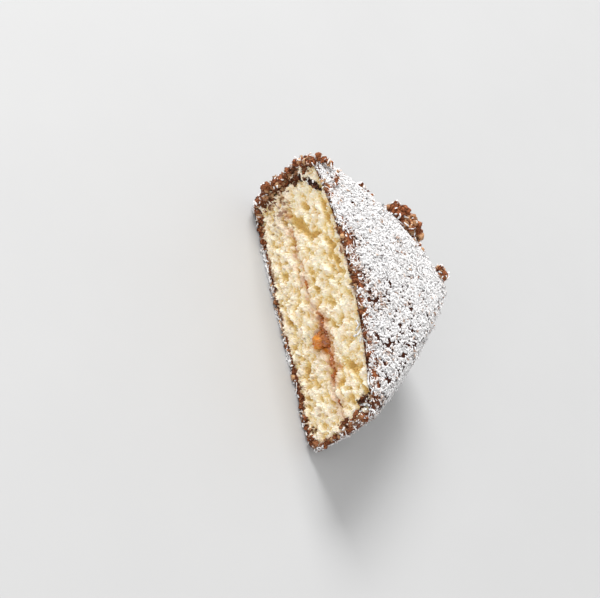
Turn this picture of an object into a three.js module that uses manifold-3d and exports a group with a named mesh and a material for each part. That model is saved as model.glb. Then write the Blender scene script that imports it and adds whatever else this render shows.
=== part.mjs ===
// Half a lamington: a square of two-layer sponge, sandwiched with jam, dipped in chocolate icing,
// rolled in coconut and cut in two from corner to corner. It lies on its base with the layers level.
// Millimetres, +Z up. X runs along the cut, the cut faces -Y and the right-angled corner points to +Y.
import * as THREE from "three";
import Module from "manifold-3d";
import { mergeVertices } from "three/addons/utils/BufferGeometryUtils.js";
import { ImprovedNoise } from "three/addons/math/ImprovedNoise.js";
import { MeshSurfaceSampler } from "three/addons/math/MeshSurfaceSampler.js";

const wasm = await Module();
wasm.setup();

// ---- driving dimensions ----
const SIDE = 69.5; // side of the whole square cake, over the icing
const EDGE_HEIGHT = 39.2; // height of the icing where the top meets the sides
const CROWN = 3.4; // how much the top domes up in the middle
const SLOPE = 0.018; // how fast the top falls towards +X
const SIDE_BOW = 1.2; // how far the sides swell at half height
const SIDE_SWELL = [1, 2.5, 0, 0]; // how far each side swells in plan, counted round from the +X corner
const ICING = 1.5; // thickness of the icing
const GAP = 0.3; // clearance between neighbouring pieces
const OUTER_CORNER = 5.5; // plan radius of the iced corners
const CORE_CORNER = 9; // plan radius of the sponge's corners, which the icing fills out
const TOP_EDGE = 4.6; // radius of the icing's top edge
const BASE_EDGE = 3.6; // radius of the icing's base edge
const CORNER_PULL = [0.8, 0.3, 0.8, 0]; // how much more those edges draw in at each corner, from +X round
const UNEVEN = { by: 0.8, size: 21, from: 1, full: 12 }; // unevenness, and the heights where it fades in
const CUT_WANDER = { by: 1.1, size: 24, cell: 5 }; // how the knife strayed from a flat cut
const CRUMB = { depth: 1.1, coarse: 6.5, fine: 3.1, cell: 2.3 }; // relief of the crumb on the cut face
const JAM = { height: 16.9, thick: 1.2, wave: 0.9, waveSize: 17, ragged: 0.5, raggedSize: 8 };
const JAM_STEP = { from: -5, to: 10, by: 2.7 }; // the jam lies higher towards +X
const JAM_POCKET = { x: 14, radius: 5.5, stretch: 1.4, drop: 5 }; // where jam has sunk into the lower layer
const FLAKES = 220; // strips of coconut large enough to model
const FLAKE = { length: 3.8, width: 1.3, thick: 0.8, taper: 0.3, spacing: 3.9, lift: 0.3, tilt: 0.24 };
const FLAKE_SIZES = [0.72, 1.15]; // smallest and largest strip, as a share of the width and thickness
const BARE_AT_CUT = 2.6; // no strips lie closer to the cut than this
const BARE_AT_BASE = 2.2; // nor closer to the base

// Clumps of icing-soaked crumbs on the sides. Each is a row of lumps: which way its side faces along X,
// its middle's distance along that side from the cut, its height, how far it stands out and how much that
// varies, and the row's half length and climb.
const CLUMPS = [
  { side: -1, along: 42.5, height: 37, out: 4.6, jut: 1.2, reach: 4.8, climb: 0, lump: 3.4, count: 8 },
  { side: -1, along: 4.8, height: 34, out: -0.7, jut: 0.3, reach: 2.2, climb: 3.6, lump: 2.1, count: 4 },
  { side: -1, along: 65, height: 37, out: 0.5, jut: 0.5, reach: 2, climb: 0, lump: 2.1, count: 3 },
  { side: 1, along: 6.5, height: 33, out: -0.6, jut: 0.5, reach: 2.4, climb: 0, lump: 2, count: 3 },
  { side: 1, along: 25, height: 12, out: 0.5, jut: 0.5, reach: 3.4, climb: -1, lump: 2, count: 3 },
  { side: 1, along: 48, height: 26, out: 0.5, jut: 0.5, reach: 2.8, climb: 1, lump: 2, count: 3 },
];
const LUMP = { sizes: [0.65, 1.1], rough: 0.4, roughSize: 1.7, sag: -1, rise: 0.6, plainBelow: 2.05 };

// How finely the skin is divided: along a corner, a side, a rounded edge and the wall between the edges.
const STEPS = { corner: 3, side: 6, edge: 3, wall: 3 };
const TOP_RINGS = [0.8, 0.5, 0.22]; // rings on the top, as shares of its size

const CORNER_REACH = SIDE / Math.SQRT2; // from the cake's middle to a sharp corner
const MARGIN = 6; // how far the cutting bodies reach past the cake
const CUTTER = { x: CORNER_REACH + MARGIN, y: CORNER_REACH + MARGIN, z: EDGE_HEIGHT + CROWN + MARGIN };

// ---- colours ----
const finish = (color, roughness) =>
  new THREE.MeshStandardMaterial({ color, roughness, metalness: 0 });
const SPONGE_COLOUR = finish("#e6d29a", 0.9);
const JAM_COLOUR = finish("#b8622a", 0.35);
const ICING_COLOUR = finish("#6b3320", 0.6);

// ---- noise and chance ----
const perlin = new ImprovedNoise();
const NOISE_START = new THREE.Vector3(7.3, 2.9, 5.1);
const noise = (x, y, z, size) =>
  perlin.noise(x / size + NOISE_START.x, y / size + NOISE_START.y, z / size + NOISE_START.z);

THREE.MathUtils.seededRandom(41);
const random = () => THREE.MathUtils.seededRandom();
const between = (low, high) => low + (high - low) * random();

// ---- solids ----
const WELD = 1e-3; // points closer than this are one

// A closed three.js geometry as a manifold-3d solid.
function toSolid(geometry) {
  const bare = geometry.clone();
  bare.deleteAttribute("normal");
  bare.deleteAttribute("uv");
  const merged = mergeVertices(bare, WELD);
  return new wasm.Manifold(
    new wasm.Mesh({
      numProp: 3,
      vertProperties: merged.attributes.position.array,
      triVerts: new Uint32Array(merged.index.array),
    }),
  );
}

// The solid's largest closed body as a three.js geometry: loose scraps and sealed pores are left behind,
// and so are triangles that have shrunk to a line and pairs that lie back to back.
function toGeometry(solid) {
  const body = solid.decompose().sort((a, b) => b.volume() - a.volume())[0];
  const { vertProperties, triVerts } = body.getMesh();
  const geometry = new THREE.BufferGeometry()
    .setAttribute("position", new THREE.BufferAttribute(vertProperties, 3))
    .setIndex(new THREE.BufferAttribute(triVerts, 1));
  const merged = mergeVertices(geometry, WELD);
  const corners = merged.index.array;
  const kept = new Map();
  for (let i = 0; i < corners.length; i += 3) {
    const triangle = [...corners.slice(i, i + 3)];
    const key = triangle.toSorted().join();
    if (kept.has(key)) kept.delete(key);
    else if (new Set(triangle).size === 3) kept.set(key, triangle);
  }
  return merged.setIndex([...kept.values()].flat());
}

// A box from (-1,-1,-1) to (1,1,1), divided into cells and bent by place(point).
function bentBox(cellsX, cellsY, cellsZ, place) {
  const box = new THREE.BoxGeometry(2, 2, 2, cellsX, cellsY, cellsZ);
  const position = box.attributes.position;
  const point = new THREE.Vector3();
  for (let i = 0; i < position.count; i++) {
    place(point.fromBufferAttribute(position, i));
    position.setXYZ(i, point.x, point.y, point.z);
  }
  return toSolid(box);
}

// ---- the whole cake, before it is cut ----
// Points round the square's plan; a corner points along each axis. Each point has its outward normal,
// and draw says how strongly the rounding of the top and base edges pulls it in.
function planOutline(cornerRadius) {
  const outline = [];
  const centreReach = CORNER_REACH - cornerRadius * Math.SQRT2;
  const corner = (k, turn) => {
    const angle = (k * Math.PI) / 2 + turn;
    const normal = new THREE.Vector2(Math.cos(angle), Math.sin(angle));
    const centre = new THREE.Vector2(centreReach, 0).rotateAround(new THREE.Vector2(), (k * Math.PI) / 2);
    const draw = 1 + CORNER_PULL[k % 4] * Math.cos(2 * turn);
    return { point: centre.addScaledVector(normal, cornerRadius), normal, draw };
  };
  for (let k = 0; k < 4; k++) {
    for (let i = 0; i <= STEPS.corner; i++)
      outline.push(corner(k, (i / STEPS.corner - 0.5) * (Math.PI / 2)));
    const from = corner(k, Math.PI / 4);
    const to = corner(k + 1, -Math.PI / 4);
    for (let i = 1; i < STEPS.side; i++) {
      const swell = SIDE_SWELL[k] * Math.sin((Math.PI * i) / STEPS.side);
      const point = from.point.clone().lerp(to.point, i / STEPS.side);
      outline.push({ point: point.addScaledVector(from.normal, swell), normal: from.normal, draw: 1 });
    }
  }
  return outline;
}

// Levels of the side from base to top: height, and how far the edge's rounding pulls the side in.
function sideLevels() {
  const levels = [];
  const wallTop = EDGE_HEIGHT - TOP_EDGE;
  const quarter = (i) => ((i / STEPS.edge) * Math.PI) / 2;
  for (let i = 0; i <= STEPS.edge; i++) {
    const [rise, reach] = [1 - Math.cos(quarter(i)), Math.sin(quarter(i))];
    levels.push({ z: BASE_EDGE * rise, pull: BASE_EDGE * (1 - reach) });
  }
  for (let i = 1; i < STEPS.wall; i++)
    levels.push({ z: BASE_EDGE + ((wallTop - BASE_EDGE) * i) / STEPS.wall, pull: 0 });
  for (let i = 0; i <= STEPS.edge; i++) {
    const [rise, reach] = [Math.sin(quarter(i)), Math.cos(quarter(i))];
    levels.push({ z: wallTop + TOP_EDGE * rise, pull: TOP_EDGE * (1 - reach) });
  }
  return levels;
}

// The dome of the top, which falls away towards the corners.
const dome = (x, y) => CROWN * (1 - (x * x + y * y) / (SIDE / 2) ** 2);

// The dome and the hand-made unevenness, which the icing and the sponge share; the base stays flat.
function settle(point) {
  const { x, y, z } = point;
  const uneven = UNEVEN.by * THREE.MathUtils.smoothstep(z, UNEVEN.from, UNEVEN.full);
  const high = THREE.MathUtils.smoothstep(z, UNEVEN.full, EDGE_HEIGHT);
  point.x += uneven * noise(x, y, z, UNEVEN.size);
  point.y += uneven * noise(y, z, x, UNEVEN.size);
  point.z += uneven * noise(x, z, y, UNEVEN.size) + high * (dome(x, y) - SLOPE * x);
  return point;
}

// The whole cake's closed skin, drawn in by inset all round. The fans that close its top and base meet
// at a point well inside the half that is kept, so that none of their edges runs along the cut.
function wholeCake(inset, cornerRadius) {
  const outline = planOutline(cornerRadius);
  const hub = new THREE.Vector2(0, 0.2 * SIDE);
  const rings = [];
  const level = (z, outward, pull, shrink) =>
    outline.map(({ point, normal, draw }) => {
      const p = point.clone().addScaledVector(normal, outward - pull * draw).lerp(hub, 1 - shrink);
      return settle(new THREE.Vector3(p.x, p.y, z));
    });
  for (const { z, pull } of sideLevels()) {
    const bow = SIDE_BOW * Math.sin((Math.PI * z) / EDGE_HEIGHT);
    const height = inset + z * (1 - (2 * inset) / EDGE_HEIGHT);
    rings.push(level(height, bow - inset, pull, 1));
  }
  const top = EDGE_HEIGHT - inset;
  for (const shrink of TOP_RINGS) rings.push(level(top, -inset, TOP_EDGE, shrink));

  const count = outline.length;
  const baseHub = rings.length * count;
  const topHub = baseHub + 1;
  const hubs = [inset, top].map((z) => settle(new THREE.Vector3(hub.x, hub.y, z)));
  const vertices = [...rings.flat(), ...hubs].flatMap((p) => [p.x, p.y, p.z]);
  const faces = [];
  for (let i = 0; i < count; i++) {
    const j = (i + 1) % count;
    for (let low = 0; low + count < baseHub; low += count) {
      const high = low + count;
      faces.push(low + i, low + j, high + j, low + i, high + j, high + i);
    }
    faces.push(baseHub, j, i);
    faces.push(topHub, baseHub - count + i, baseHub - count + j);
  }
  return new THREE.BufferGeometry()
    .setAttribute("position", new THREE.BufferAttribute(new Float32Array(vertices), 3))
    .setIndex(faces);
}

// ---- the cut ----
// The knife's gently wandering path.
const cutPath = (x, z) => CUT_WANDER.by * noise(x, 0, z, CUT_WANDER.size);

// The crumb that the cut lays bare: pits drawn out along the cut, between rounded ridges.
function crumb(x, z) {
  const drawnOut = 1.6;
  const coarse = noise(x, 3, z * drawnOut, CRUMB.coarse);
  const fine = noise(x, 9, z * drawnOut, CRUMB.fine);
  return cutPath(x, z) + CRUMB.depth * (0.25 + 1.5 * coarse + 0.9 * fine);
}

// Everything in front of the surface y = face(x, z), to be taken away.
function knife(cell, face) {
  const cellsX = Math.round((2 * CUTTER.x) / cell);
  const cellsZ = Math.round(CUTTER.z / cell);
  return bentBox(cellsX, 1, cellsZ, (p) => {
    p.x *= CUTTER.x;
    p.z = ((p.z + 1) / 2) * CUTTER.z - MARGIN / 5;
    p.y = p.y > 0 ? face(p.x, p.z) : -CUTTER.y;
  });
}

// ---- the jam and the two layers ----
const jamStep = (x) => JAM_STEP.by * THREE.MathUtils.smoothstep(x, JAM_STEP.from, JAM_STEP.to);
const jamMiddle = (x, y) => JAM.height + jamStep(x) + JAM.wave * noise(x, y, 11, JAM.waveSize);
const jamRagged = (x, y, slice) => JAM.ragged * Math.abs(noise(x, y, slice, JAM.raggedSize));
const jamTop = (x, y) => jamMiddle(x, y) + JAM.thick / 2 + jamRagged(x, y, 31);

function jamUnderside(x, y) {
  const away = Math.hypot(x - JAM_POCKET.x, y / JAM_POCKET.stretch) / JAM_POCKET.radius;
  const drop = JAM_POCKET.drop * Math.exp(-2.5 * away * away);
  return jamMiddle(x, y) - JAM.thick / 2 - drop - jamRagged(x, y, 47);
}

// Everything between two surfaces low(x, y) and high(x, y), from just in front of the cut to the back.
function slab(low, high) {
  return bentBox(20, 9, 1, (p) => {
    p.x *= CUTTER.x;
    p.y = ((p.y + 1) / 2) * (CUTTER.y + MARGIN) - MARGIN;
    p.z = p.z > 0 ? high(p.x, p.y) : low(p.x, p.y);
  });
}

// ---- the coconut and the lumps of icing on the coat ----
// The section of a strip of shredded coconut: its flat side down, a low ridge along the top.
const STRIP_SECTION = new THREE.Shape([
  new THREE.Vector2(-FLAKE.width / 2, -FLAKE.thick / 2),
  new THREE.Vector2(FLAKE.width / 2, -FLAKE.thick / 2),
  new THREE.Vector2(FLAKE.width / 10, FLAKE.thick / 2),
]);

// One strip, narrower at one end, lying on the coat at a point with that outward normal.
function flakeSolid(at, normal, spin, tilt, size) {
  const strip = new THREE.ExtrudeGeometry(STRIP_SECTION, { depth: FLAKE.length, bevelEnabled: false });
  strip.translate(0, 0, -FLAKE.length / 2).rotateX(Math.PI / 2).scale(size, size, 1);
  const position = strip.attributes.position;
  for (let i = 0; i < position.count; i++)
    position.setX(i, position.getX(i) * (1 + FLAKE.taper * Math.sign(position.getY(i))));
  const pose = new THREE.Quaternion().setFromUnitVectors(new THREE.Vector3(0, 0, 1), normal);
  pose.multiply(new THREE.Quaternion().setFromEuler(new THREE.Euler(tilt, 0, spin, "ZYX")));
  return toSolid(strip.applyQuaternion(pose).translate(at.x, at.y, at.z));
}

// Strips spread evenly over the coat: none on the base, none across the cut.
function flakes(coat) {
  const sampler = new MeshSurfaceSampler(new THREE.Mesh(coat)).setRandomGenerator(random).build();
  const solids = [];
  const places = [];
  const at = new THREE.Vector3();
  const normal = new THREE.Vector3();
  for (let tries = 0; tries < 40 * FLAKES && solids.length < FLAKES; tries++) {
    sampler.sample(at, normal);
    const spin = between(0, Math.PI);
    const tilt = between(-FLAKE.tilt, FLAKE.tilt);
    const size = between(...FLAKE_SIZES);
    if (at.y < BARE_AT_CUT + cutPath(at.x, at.z) || at.z < BARE_AT_BASE) continue;
    if (places.some((place) => place.distanceTo(at) < FLAKE.spacing)) continue;
    places.push(at.clone());
    solids.push(flakeSolid(at.clone().addScaledVector(normal, FLAKE.lift), normal, spin, tilt, size));
  }
  return solids;
}

function clump({ side, along, height, out, jut, reach, climb, lump, count }) {
  const outward = new THREE.Vector3(side, 1, 0).normalize();
  const run = new THREE.Vector3(-side, 1, 0).normalize();
  const facets = lump < LUMP.plainBelow ? 0 : 1;
  return Array.from({ length: count }, (_, i) => {
    const ball = new THREE.IcosahedronGeometry(lump * between(...LUMP.sizes), facets);
    const position = ball.attributes.position;
    const p = new THREE.Vector3();
    for (let v = 0; v < position.count; v++) {
      p.fromBufferAttribute(position, v);
      p.multiplyScalar(1 + LUMP.rough * noise(p.x + 9 * i, p.y, p.z + along, LUMP.roughSize));
      position.setXYZ(v, p.x, p.y, p.z);
    }
    const share = (2 * i) / (count - 1) - 1;
    const lift = climb * share + between(LUMP.sag, LUMP.rise);
    const middle = new THREE.Vector3(side * CORNER_REACH, 0, height + lift)
      .addScaledVector(run, along + reach * share)
      .addScaledVector(outward, out + between(-jut, jut));
    return toSolid(ball.translate(middle.x, middle.y, middle.z));
  });
}

// ---- assembly ----
const coatGeometry = wholeCake(0, OUTER_CORNER);
const coat = toSolid(coatGeometry);
const hollow = toSolid(wholeCake(ICING, CORE_CORNER));
const core = toSolid(wholeCake(ICING + GAP, CORE_CORNER));
const plainKnife = knife(CUT_WANDER.cell, cutPath);
const crumbKnife = knife(CRUMB.cell, crumb);

const floor = () => -MARGIN;
const ceiling = () => CUTTER.z;
const upToJamTop = slab(floor, (x, y) => jamTop(x, y) + GAP);
const fromJamUnderside = slab((x, y) => jamUnderside(x, y) - GAP, ceiling);
const jamSlab = slab(jamUnderside, jamTop);

const coated = wasm.Manifold.union([coat, ...flakes(coatGeometry), ...CLUMPS.flatMap(clump)]);

const solids = {
  chocolate_icing: [coated.subtract(hollow).subtract(plainKnife), ICING_COLOUR],
  sponge_lower: [core.subtract(crumbKnife).subtract(fromJamUnderside), SPONGE_COLOUR],
  jam_filling: [core.subtract(plainKnife).intersect(jamSlab), JAM_COLOUR],
  sponge_upper: [core.subtract(crumbKnife).subtract(upToJamTop), SPONGE_COLOUR],
};

const lamington = new THREE.Group();
for (const [name, [solid, material]] of Object.entries(solids)) {
  const piece = new THREE.Mesh(toGeometry(solid), material);
  piece.name = name;
  lamington.add(piece);
}

// The origin is under the middle of the half's bounding box, on the surface it lies on.
const bounds = new THREE.Box3().setFromObject(lamington, true);
const middle = bounds.getCenter(new THREE.Vector3());
lamington.position.set(-middle.x, -middle.y, -bounds.min.z);

export default lamington;
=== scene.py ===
"""Half a lamington, cut from corner to corner and lying on its base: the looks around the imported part.

Lengths are in millimetres on the cake's own axes: X runs along the cut, Y goes back from the middle of
the cut to the square corner, Z rises from the base. in_frame() turns a point into the part's frame.
"""
import math

import bmesh
import bpy
import numpy as np
from mathutils import Matrix, Vector, noise


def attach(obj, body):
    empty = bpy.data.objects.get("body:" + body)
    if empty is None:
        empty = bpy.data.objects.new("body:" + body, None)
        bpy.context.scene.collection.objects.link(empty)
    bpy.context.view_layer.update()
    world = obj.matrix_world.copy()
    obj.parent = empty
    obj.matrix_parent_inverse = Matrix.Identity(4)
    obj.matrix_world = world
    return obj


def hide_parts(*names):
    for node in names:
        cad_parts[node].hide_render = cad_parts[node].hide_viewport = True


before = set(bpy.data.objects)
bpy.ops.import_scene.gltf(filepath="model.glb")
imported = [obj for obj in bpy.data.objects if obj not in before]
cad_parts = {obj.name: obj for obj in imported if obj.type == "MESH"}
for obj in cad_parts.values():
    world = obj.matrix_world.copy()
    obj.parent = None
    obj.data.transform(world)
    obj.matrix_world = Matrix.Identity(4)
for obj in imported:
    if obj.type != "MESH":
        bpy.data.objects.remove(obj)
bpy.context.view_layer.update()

# ---- The two layers of sponge ----
# Pale yellow butter sponge, baked in a square tin, split once and put together again with jam.
# The knife tore it, so the cut is all open pores, drawn-out ridges and hollows, with painted shade making
# the hollows golden and darker.
MM = 0.001
CUT_MIDDLE = Vector((0.354, -23.948, 0))  # the middle of the cut, at the base, in the part's frame
SIDE = 69.5  # side of the whole square cake, over the icing
CORNER_REACH = SIDE / math.sqrt(2)
EDGE_HEIGHT = 39.2  # height of the icing where the top meets the sides
CROWN = 3.4  # how much the top domes up in the middle
SLOPE = 0.018  # how fast the top falls towards +X
SIDE_BOW = 1.2  # how far the sides swell at half height
SIDE_SWELL = {1: 1.0, -1: 2.5}  # how far the side towards +X or -X swells in plan
CORNER = 5.5  # plan radius of the iced corners
TOP_EDGE = 4.6  # radius of the top edge
BASE_EDGE = 3.6  # radius of the base edge
TIP_PULL, BACK_PULL = 0.8, 0.3  # how much more those edges draw in at the cut corners and the square one
SPONGE_INSET = 0.6  # how far the sponge stays inside the outer skin, where the icing hides its edge
SKIN_SINK, SKIN_FADE = 0.9, 1.2  # how far its face falls back at that edge, and from how far away
SEAM_SINK, SEAM_FADE = 0.5, 0.7  # and the same at the seam
SPONGE_SHOULDER, SPONGE_BACK = 3.4, CORNER_REACH - 7  # where the plain back begins to narrow, and ends
BACK_SHARES = 0.96, 0.5, 0.08  # how wide that back is where it begins, half way and at its end
KNIFE_STRAY, STRAY_WIDE = 1.1, 24  # how far the knife strayed to either side, and over what width
CRUMB_CELL = 0.165  # spacing of the points on the torn face
GRAIN_TURN = math.radians(32)  # the tears run up towards +X at this slope
GRAIN_STRETCH = 1.2  # how much longer the crumb's shapes are along the tears than across
HOLLOWS = [  # torn hollows in the crumb: middle x and z, half length, half width, slope, depth
    (-27, 21.5, 6.5, 1.7, 38, 1.3),
    (-20, 28, 1.9, 1.5, 60, 1.2),
    (-31.5, 26.5, 2.6, 1.1, 45, 0.9),
    (-24, 36.2, 8, 1.1, 6, 1.0),
    (-7, 35.2, 6.5, 1.2, 14, 1.1),
    (-6, 21.6, 8, 0.7, 3, 0.7),
    (29, 30, 4.2, 1.3, 40, 1.2),
    (36.5, 33, 3.6, 1.0, 20, 0.8),
    (32, 23, 1.2, 1.9, 0, 0.9),
    (21, 7.8, 4.6, 1.0, -22, 1.1),
    (-8, 33.4, 0.8, 0.7, 0, 1.1),
    (5.5, 33.6, 0.7, 0.6, 0, 1.2),
    (5, 27.5, 2.2, 0.8, 50, 0.7),
    (12.5, 26.5, 2.6, 0.8, 40, 0.7),
    (-13, 8.5, 3.2, 0.9, 35, 0.7),
    (38, 27, 2.2, 1.1, 60, 0.8),
    (2.5, 5.5, 2.4, 0.9, 30, 0.7),
]
SPONGE_CRUMBS, SPONGE_CRUMB_SEED = 800, 31  # loose crumbs on the torn face
LOWEST = 0.05  # how low a crumb or flake may reach
FLATTENED = 0.12  # how thick it stays there, as a share of its thickness, since the base pressed it flat
SOAKED_PATCHES = [  # where jam tints the crumb: middle x and z, half length, half height, strength
    (-20, 17, 2.6, 1.4, 0.65),
    (-6.5, 17.6, 4.6, 1.7, 0.6),
    (9.5, 21, 5.2, 2.6, 1.3),
    (15, 19, 4.8, 4.6, 1.3),
    (22, 20.8, 6.2, 2.3, 1.3),
    (28.5, 19, 3.8, 1.9, 0.9),
    (26, 24, 1.6, 1.2, 0.8),
    (36.5, 18.5, 4.8, 1.7, 0.45),
]
JAM_HALF = 0.6  # half the jam's thickness where it is thin
JAM_TUCK = 0.55  # how far the layers' torn borders lap over the jam
JAM_BLOBS = [  # where jam bulges out of the cut: middle x and z, half width, half height, how far out
    (14, 15.6, 2.9, 3.1, 1.9),
    (9.8, 20.9, 3.2, 1.1, 1.2),
    (14.6, 19.2, 2.9, 2.8, 1.3),
    (21.5, 20.7, 4.6, 0.9, 1.2),
    (27.8, 19.2, 1.9, 0.9, 1.1),
    (-6.5, 17.4, 3.0, 0.7, 0.7),
    (-20.2, 17, 1.6, 0.8, 0.8),
    (36, 18.6, 2.6, 0.6, 0.5),
]
JAM_LOW, JAM_RISE, JAM_RISE_FROM, JAM_RISE_TO = 16.9, 2.7, -5, 10  # where the jam lies, and its step up


def smoothstep(value, low, high):
    """Rises from 0 to 1 while the value goes from low to high, without corners."""
    share = min(max((value - low) / (high - low), 0), 1)
    return share * share * (3 - 2 * share)


def in_frame(x, y, z):
    """A point on the cake's axes, in the part's frame."""
    return (Vector((x, y, z)) + CUT_MIDDLE) * MM


def uneven(x, z, wide, seed, high=None):
    """A smooth chance value round 0, with swells of about that width and height: its own for each seed."""
    return noise.noise(Vector((x / wide, z / (high or wide), seed)))


def craggy(x, z, wide, seed, levels=3, finer=2.1):
    """The same with smaller and smaller swells on it, each level finer by that factor."""
    return noise.fractal(Vector((x / wide, z / wide, seed)), 0.8, finer, levels)


def edge_pull(height):
    """How far the rounding of the base or the top edge draws the side in at that height."""
    if height < BASE_EDGE:
        radius, beyond = BASE_EDGE, BASE_EDGE - height
    elif height > EDGE_HEIGHT - TOP_EDGE:
        radius, beyond = TOP_EDGE, height - EDGE_HEIGHT + TOP_EDGE
    else:
        return 0
    return radius - math.sqrt(max(radius * radius - beyond * beyond, 0))


def side_point(share, side, height, inset=0.0):
    """Plan point on the side towards +X or -X: share 0 is on the cut, and share 1 is the square corner."""
    arc = CORNER * math.pi / 4
    straight = SIDE - 2 * CORNER
    run = share * (2 * arc + straight)
    centre = CORNER_REACH - CORNER * math.sqrt(2)
    pull = edge_pull(height)
    bow = SIDE_BOW * math.sin(math.pi * height / EDGE_HEIGHT) - inset
    if run < arc:
        turn = run / CORNER
        out = CORNER + bow - pull * (1 + TIP_PULL * math.cos(2 * turn))
        return side * (centre + out * math.cos(turn)), out * math.sin(turn)
    if run > arc + straight:
        turn = (2 * arc + straight - run) / CORNER
        out = CORNER + bow - pull * (1 + BACK_PULL * math.cos(2 * turn))
        return side * out * math.sin(turn), centre + out * math.cos(turn)
    along = (run - arc) / straight
    out = CORNER + bow - pull + SIDE_SWELL[side] * math.sin(math.pi * along)
    reach = out / math.sqrt(2)
    return side * (centre * (1 - along) + reach), centre * along + reach


def dome_lift(x, y, height):
    """How far the dome of the top and its fall towards +X move a point that was at that height."""
    high = smoothstep(height, 12, EDGE_HEIGHT)
    return high * (CROWN * (1 - (x * x + y * y) / (SIDE / 2) ** 2) - SLOPE * x)


def jam_middle(x):
    """Height of the middle of the jam: it wavers towards -X, where it is thin, and steps up towards +X."""
    loose = 1 - smoothstep(x, -4, 6)
    waver = 0.7 * noise.noise(Vector((x / 3.4, 1.5, 6))) + 0.35 * noise.noise(Vector((x / 1.1, 2.5, 6)))
    return JAM_LOW + JAM_RISE * smoothstep(x, JAM_RISE_FROM, JAM_RISE_TO) + loose * waver


def knife_wander(x, z):
    """How far the knife strayed from the plane of the cut."""
    return KNIFE_STRAY * noise.noise(Vector((x / STRAY_WIDE, 3.1, z / STRAY_WIDE)))


def pores(x, z, size, share, seed):
    """Depth in a bubble of about that size, of which only a share of the places has one."""
    distances, middles = noise.voronoi(Vector((x / size, z / size, seed)))
    chance = 0.5 + 0.5 * noise.cell(middles[0] * 13.7 + Vector((seed, 2 * seed, 0)))
    if chance > share:
        return 0
    radius = 0.34 + 0.3 * chance / share
    return max(1 - (distances[0] / radius) ** 2, 0) ** 0.6


def granules(x, z, size, seed):
    """Height of rounded crumbs of about that size that lie against each other, each as high as it likes."""
    distances, middles = noise.voronoi(Vector((x / size, z / size, seed)))
    chance = 0.5 + 0.5 * noise.cell(middles[0] * 11.3 + Vector((seed, seed, 0)))
    return (0.35 + 0.65 * chance) * min((distances[1] - distances[0]) / 0.3, 1) ** 0.6


def hollow(x, z):
    """Depth in the large torn hollows, in millimetres."""
    deepest = 0
    for middle_x, middle_z, half_long, half_wide, slope, depth in HOLLOWS:
        away_x, away_z = x - middle_x, z - middle_z
        if abs(away_x) + abs(away_z) > 2.5 * half_long + 2.5 * half_wide:
            continue
        turn = math.radians(slope)
        along = (away_x * math.cos(turn) + away_z * math.sin(turn)) / half_long
        across = (away_z * math.cos(turn) - away_x * math.sin(turn)) / half_wide
        ragged = 1 + 0.5 * noise.noise(Vector((x / 1.4, 8.8, z / 1.4)))
        deepest = max(deepest, depth * math.exp(-1.2 * (along * along + across * across) * ragged))
    return deepest


def crumb(x, z):
    """Relief of the torn face, positive into the cake, and how golden the crumb is there, darker as painted
    shade where it lies deep. Each kind of unevenness has its weight in both: in millimetres, and as a
    share."""
    along = (x * math.cos(GRAIN_TURN) + z * math.sin(GRAIN_TURN)) / GRAIN_STRETCH
    across = z * math.cos(GRAIN_TURN) - x * math.sin(GRAIN_TURN)
    bend = 0.7 * uneven(x, z, 4, 5)
    along, across = along + bend, across - bend
    drift = uneven(along, across, 6, 4, 3.6)
    swell = uneven(along, across, 2.1, 1)
    rough = uneven(along, across, 0.85, 2)
    grit = craggy(x, z, 0.4, 3, 2)
    coarse = granules(along, across, 1.0, 21)
    fine = granules(x, z, 0.5, 22)
    large = pores(along, across, 2.2, 0.26, 11)
    middling = pores(along, across, 1.1, 0.36, 12)
    small = pores(x, z, 0.6, 0.45, 13)
    torn = hollow(x, z)
    crack = max(1 - abs(uneven(along, across, 3.4, 9, 2.4)) / 0.06, 0)
    crack *= smoothstep(uneven(x, z, 5, 10), -0.1, 0.25)
    relief = 0.9 * drift + 1.5 * swell + 0.65 * rough + 0.24 * grit - 0.5 * coarse - 0.3 * fine
    relief += 1.1 * large + 0.9 * middling + 0.55 * small + 1.4 * torn + 0.7 * crack + 0.35
    # Painted shade: the crumb turns golden and darker where it lies deep, in pores, hollows and cracks.
    golden_shade = 0.27 + 0.3 * drift + 0.75 * swell + 0.3 * rough - 0.2 * coarse - 0.12 * fine
    golden_shade += 0.4 * large + 0.4 * middling + 0.24 * small + 1.2 * torn + 0.4 * crack
    return relief, golden_shade


def point_layers(shape, *names):
    """New attributes of the shape, which hold a value for each point."""
    return [shape.verts.layers.float.new(name) for name in names]


def close_behind(shape, height_layer, shoulder, back):
    """Closes an open front: its border goes in to the shoulder, and narrows from there to the back."""
    border = [edge for edge in shape.edges if edge.is_boundary]
    for depth, narrow in zip((shoulder, back * 0.5, back), BACK_SHARES):
        made = bmesh.ops.extrude_edge_only(shape, edges=border)["geom"]
        border = [item for item in made if isinstance(item, bmesh.types.BMEdge) and item.is_boundary]
        for vertex in (item for item in made if isinstance(item, bmesh.types.BMVert)):
            x, height = vertex.co.x * narrow, vertex[height_layer]
            vertex.co = x, depth, height + dome_lift(x, depth, height)
    bmesh.ops.holes_fill(shape, edges=border)
    bmesh.ops.recalc_face_normals(shape, faces=shape.faces)
    if shape.calc_volume(signed=True) < 0:
        bmesh.ops.reverse_faces(shape, faces=shape.faces)


def in_scene(name, data):
    """A new object of the scene with that data: a mesh, a light or a camera."""
    made = bpy.data.objects.new(name, data)
    bpy.context.scene.collection.objects.link(made)
    return made


def placed(name, mesh, material):
    """Makes the mesh a piece of that material, which rides on the one body."""
    mesh.materials.append(material)
    piece = in_scene(name, mesh)
    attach(piece, "root")
    return piece


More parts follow.
